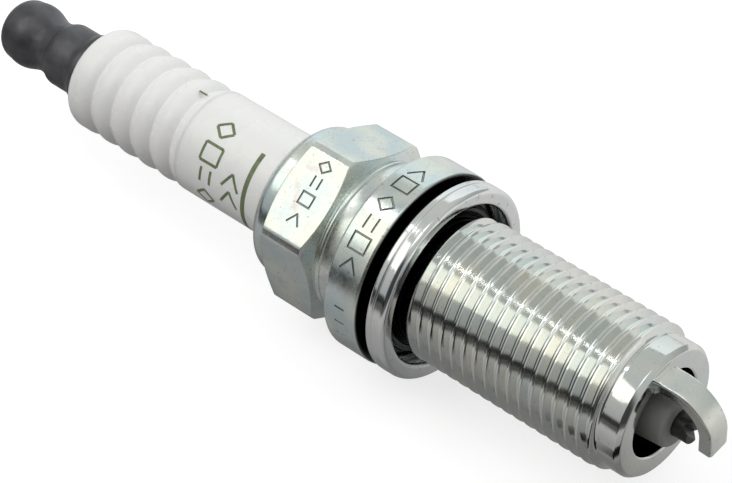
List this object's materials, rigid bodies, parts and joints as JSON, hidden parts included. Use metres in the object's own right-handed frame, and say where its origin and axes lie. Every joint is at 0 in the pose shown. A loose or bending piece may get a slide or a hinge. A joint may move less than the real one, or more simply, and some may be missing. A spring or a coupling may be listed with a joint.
{
  "type": "spark plug",
  "caption": "Resistor spark plug with a long-reach metric thread, hexagon shell, ribbed ceramic insulator, captive gasket and removable terminal nut.",
  "frame": {"origin": "centre of the shell's seat face, on the plug's axis", "axes": "+X along the axis towards the firing end, -X towards the terminal, +Z towards the side that carries the ground electrode"},
  "size_m": [0.0852, 0.019, 0.019],
  "materials": {
    "plated_steel": "zinc or nickel plated, satin, slightly iridescent",
    "glazed_alumina": "white glazed alumina with a green print",
    "nickel_alloy": "dark heat-tinted nickel alloy",
    "copper": "plain copper",
    "seal_glass": "fused conductive glass powder",
    "resistor_fill": "fused carbon and glass powder",
    "stud_steel": "plain plated steel",
    "black_steel": "blackened steel, satin",
    "ring_steel": "plain soft steel",
    "talc": "pressed talc powder",
    "strap_alloy": "bright nickel alloy bar",
    "gasket_steel": "polished plated sheet steel"
  },
  "bodies": {
    "plug": {"metal_shell": "plated_steel", "insulator": "glazed_alumina", "centre_electrode": "nickel_alloy", "centre_electrode_core": "copper", "lower_glass_seal": "seal_glass", "resistor": "resistor_fill", "upper_glass_seal": "seal_glass", "terminal_stud": "stud_steel", "lower_packing_ring": "ring_steel", "talc_seal": "talc", "upper_packing_ring": "ring_steel", "insulator_seat_packing": "ring_steel", "ground_electrode": "strap_alloy"},
    "terminal_nut": {"terminal_nut": "black_steel"},
    "gasket": {"seat_gasket": "gasket_steel"}
  },
  "joints": [
    {"name": "terminal_unscrew", "type": "slide", "parent": "plug", "child": "terminal_nut", "axis": [-1, 0, 0], "range_m": [0, 0.0095]},
    {"name": "gasket_play", "type": "slide", "parent": "plug", "child": "gasket", "axis": [1, 0, 0], "range_m": [-0.00095, 0.0014]}
  ]
}
